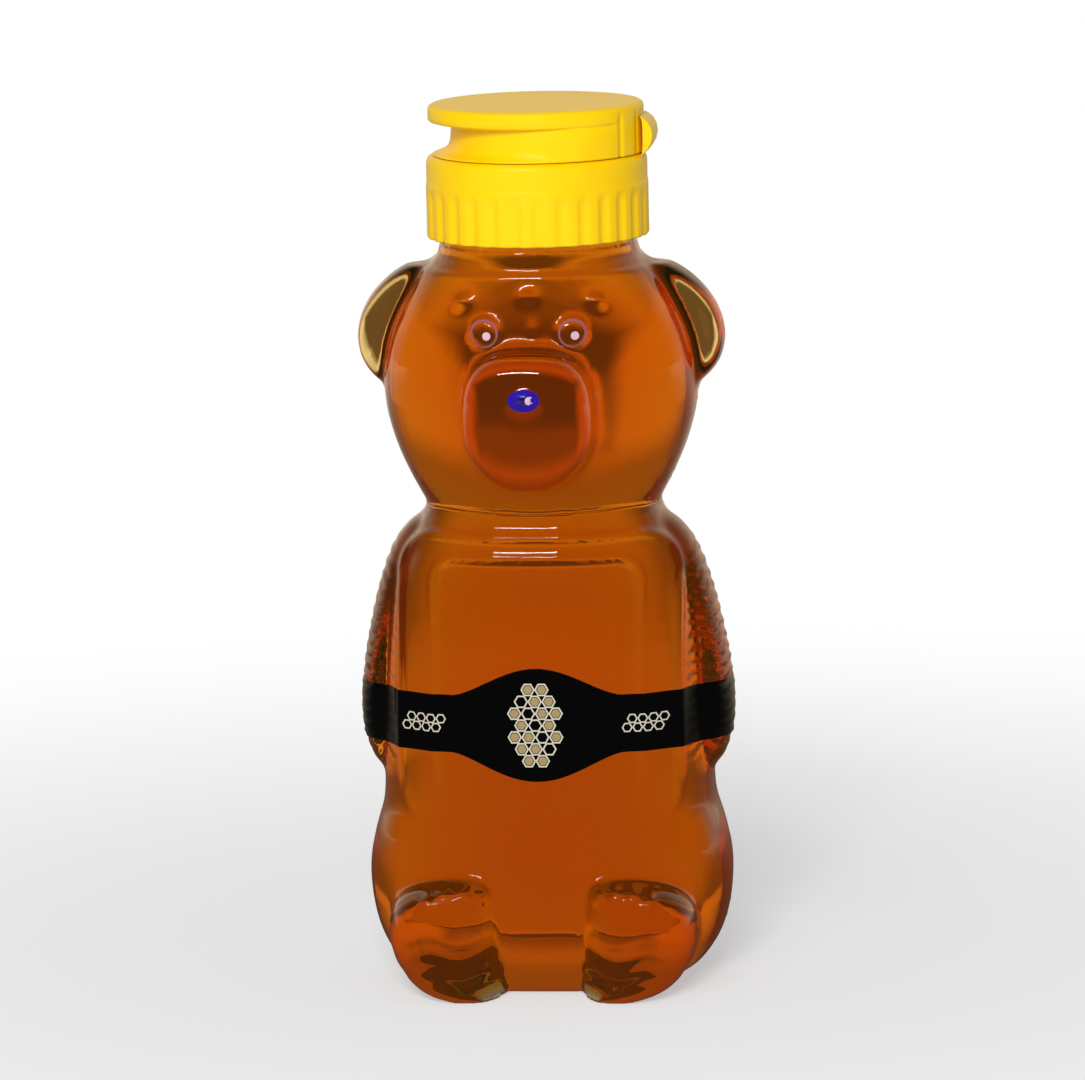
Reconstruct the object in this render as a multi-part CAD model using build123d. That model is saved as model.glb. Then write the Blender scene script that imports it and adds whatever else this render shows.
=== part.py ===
from build123d import *
import os
from math import copysign, cos, pi, sin

# A bear-shaped squeeze bottle of clear PET, full of honey, with a belt label and a flip-top screw cap.
# Millimetres, +Z up. The origin is the centre of the base, on the axis of the neck.
# The bear faces -Y, and the lid opens towards +X.

# Body of the bottle
wall = 0.7
torso_top = 93.0
torso_half_width = 33.9
torso_half_depth = 23.5
head_bottom = 86.0
head_height = 50.0
head_half_width = 29.1
head_half_depth = 22.6
arm_bottom = 40.2
arm_height = 47.8
arm_reach = 34.6
arm_center_y = -0.5
arm_half_depth = 10.0
foot_height = 22.6
foot_inner_x = 7.2
foot_center_y = -16.6
foot_half_width = 10.8
foot_half_depth = 12.9
ear_center_x = 21.6
ear_center_y = 1.0
ear_center_z = 122.8
ear_long_radius = 13.4
ear_short_radius = 11.1
ear_half_thickness = 5.0
ear_tilt = -45.0
snout_center_z = 108.4
snout_half_width = 12.5
snout_half_height = 13.4
snout_reach = 32.2
snout_root = 16.0
nose_center_z = 113.2
nose_half_sizes = (2.9, 1.7, 2.1)
eye_center_x = 8.1
eye_center_z = 124.0
eye_radius = 3.5
eye_height = 1.5
eye_sink = 0.9

# Frame round the front panel
frame_width = 53.0
frame_height = 55.8
frame_center_z = 58.6
frame_corner = 8.4
frame_rim = 1.8
frame_rise = 0.8
frame_reach = 2.0

# Groove in the base
groove_half_width = 21.0
groove_half_depth = 14.0
groove_width = 3.0
groove_deep = 0.3

# Neck and mouth
neck_radius = 18.9
neck_root = 131.0
neck_top = 138.9
finish_radius = 17.45
mouth_height = 152.2
bore_radius = 15.3
bore_root = 128.0
fill_height = 138.6
honey_clearance = 0.1

# Screw thread, six turns to the inch
thread_pitch = 25.4 / 6
thread_turns = 1.25
thread_start = 143.2
thread_depth = 1.2
thread_root_width = 2.4
thread_crest_width = 1.2
thread_sink = 0.4
thread_clearance = 0.3

# Cap
cap_radius = 20.5
cap_bottom = 139.4
parting_height = 154.6
deck_thickness = 1.4
gasket_thickness = 0.6
gasket_hole_radius = 13.6
gasket_clearance = 0.45
flute_count = 30
flute_radius = 1.5
flute_depth = 0.45
flute_top = 147.6
rim_width = 2.2
spout_radius = 4.6
spout_height = 2.6
orifice_radius = 3.2
edge_round = 0.6

# Lid
lid_radius = 19.9
lid_top = 164.0
lid_wall = 1.4
lid_plate = 2.1
lid_ceiling = 1.3
lid_edge_round = 1.0
parting_gap = 0.15
recess_shift = 3.0
recess_depth = 4.2
plug_clearance = 0.15
plug_wall = 0.8
plug_engagement = 1.8

# Living hinge
hinge_flat = 19.3
hinge_bulge = 22.2
strap_half_width = 5.5
strap_thickness = 0.6
strap_top = 161.4
strap_gap = 0.1
hinge_reach = 6.0

# Belt label
belt_center_z = 51.6
belt_height = 10.7
belt_end_y = 7.0
medallion_width = 25.0
medallion_height = 21.0
medallion_blend = 5.0
label_thickness = 0.15
label_gap = 0.05

# Shapes that follow the sizes above: height share, half-width share, half-depth share
ring_points = 16
torso_power = 2.5
head_power = 2.25
soft_power = 2.1
snout_power = 2.8
snout_taper_share = 0.3
torso_shares = [
    (0.0, 0.6608, 0.7064),
    (0.0129, 0.7375, 0.7915),
    (0.0366, 0.8319, 0.8638),
    (0.086, 0.9263, 0.9404),
    (0.1505, 0.9823, 0.983),
    (0.2366, 1.0, 1.0),
    (0.3118, 0.9617, 0.9957),
    (0.3763, 0.9115, 0.9872),
    (0.5054, 0.9056, 0.9915),
    (0.6237, 0.8909, 0.9872),
    (0.7527, 0.8525, 0.9532),
    (0.8495, 0.7876, 0.8894),
    (0.9355, 0.6755, 0.7872),
    (1.0, 0.5959, 0.7064),
]
head_shares = [
    (0.0, 0.646, 0.7168),
    (0.07, 0.7285, 0.7699),
    (0.2, 0.8488, 0.8894),
    (0.32, 0.9347, 0.9646),
    (0.46, 0.9931, 0.9956),
    (0.62, 0.9931, 0.9956),
    (0.74, 0.9381, 0.9646),
    (0.84, 0.8591, 0.9204),
    (0.94, 0.7526, 0.8628),
    (1.0, 0.677, 0.8319),
]
# Arm: height share, reach share, half-width share of the reach, half-depth share
arm_shares = [
    (0.0, 0.9046, 0.1214, 0.6),
    (0.046, 0.9538, 0.1734, 0.82),
    (0.1632, 0.9971, 0.2052, 0.96),
    (0.3515, 0.9971, 0.2168, 0.99),
    (0.5397, 0.9566, 0.2139, 0.98),
    (0.728, 0.8931, 0.2052, 0.92),
    (0.8745, 0.8179, 0.1792, 0.78),
    (0.9582, 0.7341, 0.1387, 0.6),
    (1.0, 0.6532, 0.0983, 0.42),
]
foot_shares = [
    (0.0, 0.5741, 0.7752),
    (0.0442, 0.7037, 0.8605),
    (0.1327, 0.8241, 0.9302),
    (0.354, 0.963, 0.9922),
    (0.5752, 1.0, 1.0),
    (0.7965, 0.9352, 0.9147),
    (0.9292, 0.7778, 0.7442),
    (1.0, 0.5556, 0.5426),
]
# Snout: reach share, half-width share, half-height share
snout_shares = [
    (0.0, 1.0, 1.0),
    (0.4, 0.99, 0.99),
    (0.68, 0.96, 0.96),
    (0.865, 0.88, 0.885),
    (0.96, 0.745, 0.77),
    (1.0, 0.54, 0.57),
]
ear_shares = [
    (0.0, 0.74),
    (0.1, 0.875),
    (0.28, 0.97),
    (0.5, 1.0),
    (0.72, 0.97),
    (0.9, 0.875),
    (1.0, 0.74),
]


def ring(half_width, half_depth, height, power, center_x=0, center_y=0, taper=0):
    """A level rounded outline, between an ellipse and a rectangle, that can narrow on one side."""
    points = []
    for step in range(ring_points):
        turn = 2 * pi * step / ring_points
        x = half_width * copysign(abs(cos(turn)) ** (2 / power), cos(turn))
        y = half_depth * copysign(abs(sin(turn)) ** (2 / power), sin(turn))
        narrowing = 1 - taper * max(0, -y / half_depth) ** 2
        points.append((center_x + x * narrowing, center_y + y, height))
    return make_face(Spline(*points, periodic=True))


def level(share, low, high, inset):
    """A height share turned into a height, between two ends that are both drawn in by the inset."""
    return low + inset + share * (high - low - 2 * inset)


def torso_form(inset):
    """Belly, chest and back, from the base up into the head."""
    rings = []
    for height, width, depth in torso_shares:
        z = level(height, 0, torso_top, inset)
        rings.append(ring(width * torso_half_width - inset, depth * torso_half_depth - inset, z, torso_power))
    return loft(rings)


def head_form(inset):
    """Head, from inside the torso up into the neck."""
    rings = []
    for height, width, depth in head_shares:
        z = level(height, head_bottom, head_bottom + head_height, inset)
        rings.append(ring(width * head_half_width - inset, depth * head_half_depth - inset, z, head_power))
    return loft(rings)


def arm_form(side, inset):
    """One arm, hanging along the side of the torso."""
    rings = []
    for height, reach, half, depth in arm_shares:
        z = level(height, arm_bottom, arm_bottom + arm_height, inset)
        half_width = half * arm_reach
        center = side * (reach * arm_reach - half_width)
        rings.append(ring(half_width - inset, depth * arm_half_depth - inset, z, soft_power, center, arm_center_y))
    return loft(rings)


def foot_form(side, inset):
    """One foot, standing out at the front of the base."""
    rings = []
    for height, width, depth in foot_shares:
        z = level(height, 0, foot_height, inset)
        half_width = width * foot_half_width - inset
        half_depth = depth * foot_half_depth - inset
        center_x = side * (foot_inner_x + width * foot_half_width)
        rings.append(ring(half_width, half_depth, z, soft_power, center_x, foot_center_y))
    return loft(rings)


def ear_form(side, inset):
    """One ear, a thick rounded oval standing on the upper corner of the head."""
    rings = []
    for height, size in ear_shares:
        z = level(height, -ear_half_thickness, ear_half_thickness, inset)
        rings.append(ring(size * ear_long_radius - inset, size * ear_short_radius - inset, z, soft_power))
    ear = Rot(90, 0, 0) * Rot(0, 0, side * ear_tilt) * loft(rings)
    return Pos(side * ear_center_x, ear_center_y, ear_center_z) * ear


def snout_form(inset):
    """Muzzle, standing out of the face."""
    rings = []
    for reach, width, height in snout_shares:
        z = snout_root + reach * (snout_reach - inset - snout_root)
        half_width = width * snout_half_width - inset
        half_height = height * snout_half_height - inset
        rings.append(ring(half_width, half_height, z, snout_power, taper=snout_taper_share))
    return Pos(0, 0, snout_center_z) * Rot(90, 0, 0) * loft(rings)


def dome(half_sizes, x, y, z):
    """A smooth bump with the given half sizes."""
    return Pos(x, y, z) * scale(Sphere(1), by=half_sizes)


def head_front(x, z):
    """How far the face reaches forward of the axis, at a place on the face."""
    share = (z - head_bottom) / head_height
    below = [row for row in head_shares if row[0] <= share][-1]
    above = [row for row in head_shares if row[0] > share][0]
    part = (share - below[0]) / (above[0] - below[0])
    width = (below[1] + part * (above[1] - below[1])) * head_half_width
    depth = (below[2] + part * (above[2] - below[2])) * head_half_depth
    return depth * (1 - (abs(x) / width) ** head_power) ** (1 / head_power)


def face_details():
    """Nose and two domed eyes, each a solid of its own."""
    eye_sizes = (eye_radius, eye_height + eye_sink, eye_radius)
    eye_y = eye_sink - head_front(eye_center_x, eye_center_z)
    nose = dome(nose_half_sizes, 0, -snout_reach, nose_center_z)
    eyes = [dome(eye_sizes, side * eye_center_x, eye_y, eye_center_z) for side in (-1, 1)]
    return [nose] + eyes


def panel_frame(torso, grow):
    """Raised frame round the front panel, following the torso."""
    outer = RectangleRounded(frame_width + 2 * grow, frame_height + 2 * grow, frame_corner + grow)
    inner_width = frame_width - 2 * frame_rim - 2 * grow
    inner_height = frame_height - 2 * frame_rim - 2 * grow
    inner = RectangleRounded(inner_width, inner_height, frame_corner - frame_rim - grow)
    front = Plane(origin=(0, 0, frame_center_z), x_dir=(1, 0, 0), z_dir=(0, -1, 0))
    rim = extrude(front * (outer - inner), torso_half_depth + frame_reach)
    return torso & rim


def bear_form(inset):
    """The whole bear as one solid, drawn in by the inset, without its neck."""
    forms = [head_form(inset), snout_form(inset)]
    for side in (-1, 1):
        forms += [arm_form(side, inset), foot_form(side, inset), ear_form(side, inset)]
    return torso_form(inset) + forms


def tube_solid(radius, low, high):
    """An upright round solid between two heights."""
    return Pos(0, 0, low) * extrude(Circle(radius), high - low)


def cavity_form(inset):
    """The space inside the bottle, or the honey in it when it is drawn in further."""
    return bear_form(inset) + tube_solid(bore_radius - inset + wall, bore_root, mouth_height + wall)


def thread(root_radius, crest_radius, start):
    """A ridge of the screw thread, sunk into its wall. It stands towards the crest radius."""
    outward = copysign(1, crest_radius - root_radius)
    sunk_radius = root_radius - outward * thread_sink
    flank = (thread_root_width - thread_crest_width) / thread_depth / 2
    sunk_half = thread_root_width / 2 + flank * thread_sink
    crest_half = sunk_half - flank * abs(crest_radius - sunk_radius)
    corners = [
        (sunk_radius, 0, start - sunk_half),
        (crest_radius, 0, start - crest_half),
        (crest_radius, 0, start + crest_half),
        (sunk_radius, 0, start + sunk_half),
    ]
    profile = make_face(Polyline(*corners[::int(outward)], close=True))
    path = Helix(thread_pitch, thread_pitch * thread_turns, root_radius, center=(0, 0, start))
    return sweep(profile, path, is_frenet=True)


def base_groove():
    """Shallow oval groove under the base."""
    outer = Ellipse(groove_half_width, groove_half_depth)
    inner = Ellipse(groove_half_width - groove_width, groove_half_depth - groove_width)
    return extrude(outer - inner, groove_deep)


def make_bottle():
    """Blown bear with its neck, thread and mouth, as one moulding."""
    parts = [panel_frame(torso_form(-frame_rise), 0)] + face_details()
    parts += [tube_solid(neck_radius, neck_root, neck_top), tube_solid(finish_radius, neck_root, mouth_height)]
    parts += [thread(finish_radius, finish_radius + thread_depth, thread_start)]
    return bear_form(0) + parts - cavity_form(wall) - base_groove()


def make_honey():
    """Honey, filling the bottle to its neck."""
    honey = cavity_form(wall + honey_clearance)
    headspace = tube_solid(bore_radius, fill_height, 2 * mouth_height - fill_height)
    return honey - headspace


def belt_outline():
    """Front view of the belt: a straight band that swells into an oval in the middle."""
    band = Rectangle(4 * torso_half_width, belt_height)
    oval = Ellipse(medallion_width / 2, medallion_height / 2)
    outline = band + oval
    corners = [v for v in outline.vertices() if abs(v.X) < medallion_width]
    return fillet(corners, medallion_blend)


def make_label_belt():
    """Thin printed belt across the belly, from behind one arm to behind the other."""
    band = Box(4 * torso_half_width, 3 * torso_half_depth, belt_height,
               align=(Align.CENTER, Align.MAX, Align.CENTER))
    band = Pos(0, belt_end_y, belt_center_z) * band
    front = Plane(origin=(0, 0, belt_center_z), x_dir=(1, 0, 0), z_dir=(0, -1, 0))
    band += extrude(front * belt_outline(), 2 * torso_half_depth)
    for grow in (label_gap, label_gap + label_thickness):
        form = torso_form(-frame_rise - grow) + [arm_form(-1, -grow), arm_form(1, -grow)]
        band = band - form if grow == label_gap else band & form
    return band


def make_gasket():
    """Foam sealing ring between the mouth and the deck of the cap."""
    outer = skirt_bore() - gasket_clearance
    ring_face = Circle(outer) - Circle(gasket_hole_radius)
    return Pos(0, 0, mouth_height) * extrude(ring_face, gasket_thickness)


def skirt_bore():
    """Radius inside the cap, clear of the thread on the neck."""
    return finish_radius + thread_depth + thread_clearance


def deck_underside():
    """Height at which the deck rests on the gasket."""
    return mouth_height + gasket_thickness


def make_cap_base():
    """Screw part of the cap: fluted skirt, deck, spout and inner thread."""
    deck_top = deck_underside() + deck_thickness
    cap = tube_solid(cap_radius, cap_bottom, parting_height)
    cap = fillet(cap.edges().filter_by(GeomType.CIRCLE), edge_round / 2)
    cap -= tube_solid(skirt_bore(), cap_bottom, deck_underside())
    cap -= tube_solid(cap_radius - rim_width, deck_top, parting_height)
    cap += tube_solid(spout_radius, deck_underside(), deck_top + spout_height)
    cap -= tube_solid(orifice_radius, deck_underside(), deck_top + spout_height)
    cap += thread(skirt_bore(), finish_radius + thread_clearance, thread_start - thread_pitch / 2)
    flute = tube_solid(flute_radius, cap_bottom, flute_top)
    return cap - PolarLocations(cap_radius - flute_depth + flute_radius, flute_count) * flute


def lid_shell(inset, low, high):
    """Wall of the lid, drawn in by the inset: round at the hinge and set back at the thumb recess."""
    wall_form = tube_solid(lid_radius - inset, low, high)
    back_radius = lid_radius - recess_depth + recess_shift - inset
    return wall_form & (Pos(recess_shift, 0, 0) * tube_solid(back_radius, low, high))


def make_lid():
    """Flip-top lid with a thumb recess under its edge and a plug for the spout."""
    low = parting_height + parting_gap
    plate_low = lid_top - lid_plate
    ceiling = lid_top - lid_ceiling
    plate = tube_solid(lid_radius, plate_low, lid_top)
    plate = fillet(plate.edges().group_by(Axis.Z)[-1], lid_edge_round)
    lid = plate + lid_shell(0, low, plate_low)
    lid -= lid_shell(lid_wall, low, ceiling)
    seat = Pos(hinge_flat, 0, low) * Box(hinge_reach, 2 * (strap_half_width + strap_gap),
                                        strap_top + strap_gap - low, align=(Align.MIN, Align.CENTER, Align.MIN))
    lid -= seat
    plug_low = deck_underside() + deck_thickness + spout_height - plug_engagement
    plug_radius = orifice_radius - plug_clearance
    lid += tube_solid(plug_radius, plug_low, lid_top - lid_ceiling / 2)
    return lid - tube_solid(plug_radius - plug_wall, plug_low, ceiling)


def make_hinge_strap():
    """Living hinge: a strip that stands on the cap's rim, bows outwards and ends on the lid."""
    foot = cap_radius - rim_width / 3
    middle = (parting_height + strap_top) / 2
    outer = ThreePointArc((foot, parting_height), (hinge_bulge, middle), (hinge_flat, strap_top))
    inner_arc = ThreePointArc(
        (hinge_flat, strap_top - strap_thickness),
        (hinge_bulge - strap_thickness, middle),
        (foot - strap_thickness, parting_height),
    )
    top = Line((hinge_flat, strap_top), (hinge_flat, strap_top - strap_thickness))
    bottom = Line((foot - strap_thickness, parting_height), (foot, parting_height))
    across = Plane(origin=(0, strap_half_width, 0), x_dir=(1, 0, 0), z_dir=(0, -1, 0))
    return extrude(across * make_face([outer, top, inner_arc, bottom]), 2 * strap_half_width)


# Write one file for each piece
pieces = {
    "bottle": make_bottle(),
    "honey": make_honey(),
    "label_belt": make_label_belt(),
    "gasket": make_gasket(),
    "cap_base": make_cap_base(),
    "lid": make_lid(),
    "hinge_strap": make_hinge_strap(),
}
os.makedirs("parts", exist_ok=True)
for name, piece in pieces.items():
    export_step(piece, "parts/" + name + ".step")
    print(name, len(piece.solids()), round(piece.volume, 1), piece.bounding_box())
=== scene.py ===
from math import atan2, cos, exp, hypot, pi, radians, sin, sqrt

import bmesh
import bpy
from mathutils import Matrix, Vector
from mathutils.bvhtree import BVHTree


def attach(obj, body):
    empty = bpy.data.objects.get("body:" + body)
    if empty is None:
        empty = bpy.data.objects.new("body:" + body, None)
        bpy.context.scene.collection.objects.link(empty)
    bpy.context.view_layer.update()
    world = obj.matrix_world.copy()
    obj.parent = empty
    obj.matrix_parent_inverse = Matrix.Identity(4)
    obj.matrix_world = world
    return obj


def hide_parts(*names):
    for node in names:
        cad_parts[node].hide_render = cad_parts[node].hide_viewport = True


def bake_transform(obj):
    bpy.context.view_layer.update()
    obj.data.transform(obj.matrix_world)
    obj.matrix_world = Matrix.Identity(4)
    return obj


# A clear PET bear full of honey, with a black belt label and a yellow flip-top cap.
# Shapes are worked out in millimetres and scaled to metres as each piece is finished.
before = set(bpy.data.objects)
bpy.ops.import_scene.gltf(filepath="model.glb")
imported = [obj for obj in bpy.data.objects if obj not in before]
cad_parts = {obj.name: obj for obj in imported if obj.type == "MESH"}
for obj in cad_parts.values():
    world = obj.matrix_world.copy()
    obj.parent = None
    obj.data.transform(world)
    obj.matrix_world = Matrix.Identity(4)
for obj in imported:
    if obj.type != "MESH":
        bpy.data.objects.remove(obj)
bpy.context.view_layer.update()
MM = 0.001


# Colours and nodes
def rgba(hex_colour):
    """An sRGB hex colour as linear values, with full alpha."""
    channels = [int(hex_colour[i:i + 2], 16) / 255 for i in (0, 2, 4)]
    return [c / 12.92 if c <= 0.04045 else ((c + 0.055) / 1.055) ** 2.4 for c in channels] + [1.0]


def add_node(tree, kind, inputs=None, **settings):
    """Adds a node with its settings. An input, by name or number, takes a value or another node's output."""
    node = tree.nodes.new(kind)
    for name, value in settings.items():
        socket = name.replace("_", " ")
        if socket in node.inputs:
            node.inputs[socket].default_value = value
        else:
            setattr(node, name, value)
    for name, source in (inputs or {}).items():
        if isinstance(source, bpy.types.NodeSocket):
            tree.links.new(source, node.inputs[name])
        else:
            node.inputs[name].default_value = source
    return node


def new_material(name):
    """A material with an empty node tree and its output."""
    material = bpy.data.materials.new(name)
    material.use_nodes = True
    tree = material.node_tree
    tree.nodes.clear()
    return material, tree, add_node(tree, "ShaderNodeOutputMaterial")


# Materials. The honey's two colours are linear: what it lets through, and the colour of the glow painted
# into it.
PET_IOR = 1.57
WETTED_PET_IOR = 1.054
HONEY_COLOUR = (0.932, 0.687, 0.0, 1)
HONEY_DENSITY = 190.0
HONEY_GLOW_COLOUR = (1.25, 1.0, 0.08, 1)


def clear_pet(name, ior):
    """Blown PET: clear, hard and very glossy, with the faint waves that blowing leaves in its skin.
    Its wetted inner wall bends light less, because honey lies on it."""
    wave_length, wave_height = 9 * MM, 0.06 * MM
    material, tree, out = new_material(name)
    place = add_node(tree, "ShaderNodeTexCoord").outputs["Object"]
    wave = add_node(tree, "ShaderNodeTexNoise", {"Vector": place}, Scale=1 / wave_length, Detail=1.0)
    bumps = add_node(tree, "ShaderNodeBump", {"Height": wave.outputs["Fac"]}, Strength=0.5,
                     Distance=wave_height)
    shader = add_node(tree, "ShaderNodeBsdfPrincipled", {"Normal": bumps.outputs["Normal"]},
                      Base_Color=rgba("FCFEFD"), Roughness=0.0, IOR=ior, Transmission_Weight=1.0)
    tree.links.new(shader.outputs["BSDF"], out.inputs["Surface"])
    return material


def amber_honey():
    """Filtered honey: clear, and it takes blue and green out of the light as it gets deeper.
    The PET's wetted wall already bends the light for it, so its own skin doesn't. A weak even glow, painted
    in as emission, stands for the light that pollen scatters inside it."""
    material, tree, out = new_material("filtered_honey")
    shader = add_node(tree, "ShaderNodeBsdfPrincipled", Base_Color=rgba("FFFFFF"), Roughness=0.0,
                      IOR=1.001, Transmission_Weight=1.0)
    depth = add_node(tree, "ShaderNodeVolumeAbsorption", Color=HONEY_COLOUR, Density=HONEY_DENSITY)
    # Painted glow: emission inside the honey, which is no lamp.
    painted_glow = add_node(tree, "ShaderNodeEmission", Color=HONEY_GLOW_COLOUR, Strength=1.0)
    both = add_node(tree, "ShaderNodeAddShader", {0: depth.outputs["Volume"], 1: painted_glow.outputs["Emission"]})
    tree.links.new(shader.outputs["BSDF"], out.inputs["Surface"])
    tree.links.new(both.outputs["Shader"], out.inputs["Volume"])
    return material


def yellow_polypropylene():
    """Injection-moulded polypropylene: saturated yellow with a soft gloss and a fine tool grain. Faint flow
    marks vary its tone and gloss."""
    grain_size, grain_height, flow_size = 0.9 * MM, 0.05 * MM, 14 * MM
    material, tree, out = new_material("yellow_polypropylene")
    place = add_node(tree, "ShaderNodeTexCoord").outputs["Object"]
    grain = add_node(tree, "ShaderNodeTexNoise", {"Vector": place}, Scale=1 / grain_size, Detail=2.0)
    bumps = add_node(tree, "ShaderNodeBump", {"Height": grain.outputs["Fac"]}, Strength=0.04,
                     Distance=grain_height)
    flow = add_node(tree, "ShaderNodeTexNoise", {"Vector": place}, Scale=1 / flow_size, Detail=3.0)
    tone = add_node(tree, "ShaderNodeMix", {0: flow.outputs["Fac"], 6: rgba("FFC700"), 7: rgba("FFD600")},
                    data_type="RGBA")
    gloss = add_node(tree, "ShaderNodeMapRange", {"Value": flow.outputs["Fac"]}, To_Min=0.30, To_Max=0.40)
    looks = {"Base Color": tone.outputs[2], "Roughness": gloss.outputs[0], "Normal": bumps.outputs["Normal"]}
    shader = add_node(tree, "ShaderNodeBsdfPrincipled", looks, IOR=1.49, Specular_IOR_Level=0.32)
    tree.links.new(shader.outputs["BSDF"], out.inputs["Surface"])
    return material


def printed_film(name, hex_colour, roughness):
    """Printed polypropylene film: even ink under a clear gloss, with faint waves from its stretch."""
    wave_length, wave_height = 6 * MM, 0.15 * MM
    material, tree, out = new_material(name)
    place = add_node(tree, "ShaderNodeTexCoord").outputs["Object"]
    wave = add_node(tree, "ShaderNodeTexNoise", {"Vector": place}, Scale=1 / wave_length, Detail=1.0)
    bumps = add_node(tree, "ShaderNodeBump", {"Height": wave.outputs["Fac"]}, Strength=0.12,
                     Distance=wave_height)
    shader = add_node(tree, "ShaderNodeBsdfPrincipled", {"Normal": bumps.outputs["Normal"]},
                      Base_Color=rgba(hex_colour), Roughness=roughness, IOR=1.5)
    tree.links.new(shader.outputs["BSDF"], out.inputs["Surface"])
    return material


def foam():
    """Fine-celled white polyethylene foam: matt, with small closed cells."""
    cell_size, cell_depth = 0.5 * MM, 0.1 * MM
    material, tree, out = new_material("polyethylene_foam")
    place = add_node(tree, "ShaderNodeTexCoord").outputs["Object"]
    cells = add_node(tree, "ShaderNodeTexVoronoi", {"Vector": place}, Scale=1 / cell_size)
    bumps = add_node(tree, "ShaderNodeBump", {"Height": cells.outputs["Distance"]}, Strength=0.4,
                     Distance=cell_depth)
    shader = add_node(tree, "ShaderNodeBsdfPrincipled", {"Normal": bumps.outputs["Normal"]},
                      Base_Color=rgba("E9E9E3"), Roughness=0.85)
    tree.links.new(shader.outputs["BSDF"], out.inputs["Surface"])
    return material


# Mesh helpers. Points of a shape that lie closer than the weld are made one.
WELD = 1e-4
TOWARDS_FRONT = Matrix.Rotation(radians(90), 4, "X")


def finish_mesh(name, bm, materials, body, replaced=()):
    """Turns a bmesh in millimetres into a finished piece in metres, riding on its body."""
    bmesh.ops.transform(bm, matrix=Matrix.Scale(MM, 4), verts=bm.verts)
    mesh = bpy.data.meshes.new(name)
    bm.to_mesh(mesh)
    bm.free()
    piece = bpy.data.objects.new(name, mesh)
    bpy.context.scene.collection.objects.link(piece)
    for material in materials:
        mesh.materials.append(material)
    if body:
        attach(piece, body)
    if replaced:
        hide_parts(*replaced)
    return piece


def edges_at(verts):
    """The edges at some points, each once, and in the same order at each run."""
    return list(dict.fromkeys(edge for v in verts for edge in v.link_edges))


def join_mesh(bm, other):
    """Adds all of another bmesh to a bmesh."""
    mesh = bpy.data.meshes.new("joined")
    other.to_mesh(mesh)
    other.free()
    bm.from_mesh(mesh)


def shade(bm, sharp_degrees=180):
    """Smooth shading, with edges sharper than an angle left sharp."""
    for face in bm.faces:
        face.smooth = True
    for edge in bm.edges:
        if len(edge.link_faces) == 2:
            edge.smooth = edge.calc_face_angle() < radians(sharp_degrees)


def between(rows, steps=3):
    """More rows on a smooth curve through a table's rows. The first column is the height."""
    result = []
    for i in range(len(rows) - 1):
        before, low = rows[max(i - 1, 0)], rows[i]
        high, after = rows[i + 1], rows[min(i + 2, len(rows) - 1)]
        rise = high[0] - low[0]
        for step in range(steps):
            t = step / steps
            row = [low[0] + t * rise]
            for k in range(1, len(low)):
                slope_low = (high[k] - before[k]) / (high[0] - before[0]) * rise
                slope_high = (after[k] - low[k]) / (after[0] - low[0]) * rise
                row.append((2 * t**3 - 3 * t**2 + 1) * low[k] + (t**3 - 2 * t**2 + t) * slope_low
                           + (3 * t**2 - 2 * t**3) * high[k] + (t**3 - t**2) * slope_high)
            result.append(row)
    return result + [list(rows[-1])]


def add_loft(bm, rows, power, place=Matrix.Identity(4), segments=56):
    """Adds a closed form through level outlines: height, centre x and y, half width and half depth.
    A power of 2 makes the outlines round, and a higher one makes them squarer."""
    before = None
    made = []
    for height, center_x, center_y, half_width, half_depth in rows:
        circle = bmesh.ops.create_circle(bm, cap_ends=False, segments=segments, radius=1)["verts"]
        for v in circle:
            v.co.x = center_x + half_width * (abs(v.co.x) ** (2 / power)) * (1 if v.co.x > 0 else -1)
            v.co.y = center_y + half_depth * (abs(v.co.y) ** (2 / power)) * (1 if v.co.y > 0 else -1)
            v.co.z = height
        loop = edges_at(circle)
        if before:
            bmesh.ops.bridge_loops(bm, edges=before + loop)
        else:
            bmesh.ops.edgeloop_fill(bm, edges=loop)
        before = loop
        made += circle
    bmesh.ops.edgeloop_fill(bm, edges=before)
    bmesh.ops.transform(bm, matrix=place, verts=made)
    return made


def smooth_step(low, high, value):
    """0 below low, 1 above high and a smooth curve between."""
    t = min(max((value - low) / (high - low), 0), 1)
    return t * t * (3 - 2 * t)


def bump(distance, width):
    """A soft bump: 1 at no distance, fading out over about the width."""
    return exp(-(distance / width) ** 2)


# The bear, in rows of height, centre x, centre y, half width and half depth.
# The snout and ears are built lying down: their heights run to the front.
TORSO = [(0, 0, 0, 22.4, 16.6), (1.2, 0, 0, 25.0, 18.6), (3.4, 0, 0, 28.2, 20.3), (8, 0, 0, 31.4, 22.1),
         (14, 0, 0, 33.3, 23.1), (22, 0, 0, 33.9, 23.5), (29, 0, 0, 32.6, 23.4), (35, 0, 0, 30.9, 23.2),
         (47, 0, 0, 30.7, 23.3), (58, 0, 0, 30.2, 23.2), (70, 0, 0, 28.9, 22.4), (79, 0, 0, 26.7, 20.9),
         (87, 0, 0, 22.9, 18.5), (93, 0, 0, 20.2, 16.6)]
TORSO_POWER = 2.5
HEAD = [(86, 0, 0, 18.8, 16.2), (89.5, 0, 0, 21.2, 17.4), (96, 0, 0, 24.7, 20.1), (102, 0, 0, 27.2, 21.8),
        (109, 0, 0, 28.9, 22.5), (117, 0, 0, 28.9, 22.5), (123, 0, 0, 27.3, 21.8), (128, 0, 0, 25.0, 20.8)]
HEAD_TOP = [(133, 0, 0, 21.9, 19.5), (136, 0, 0, 19.7, 18.8)]
INNER_HEAD_TOP = [(133.6, 0, 0, 16.4, 16.2)]
HEAD_POWER = 2.25
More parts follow.
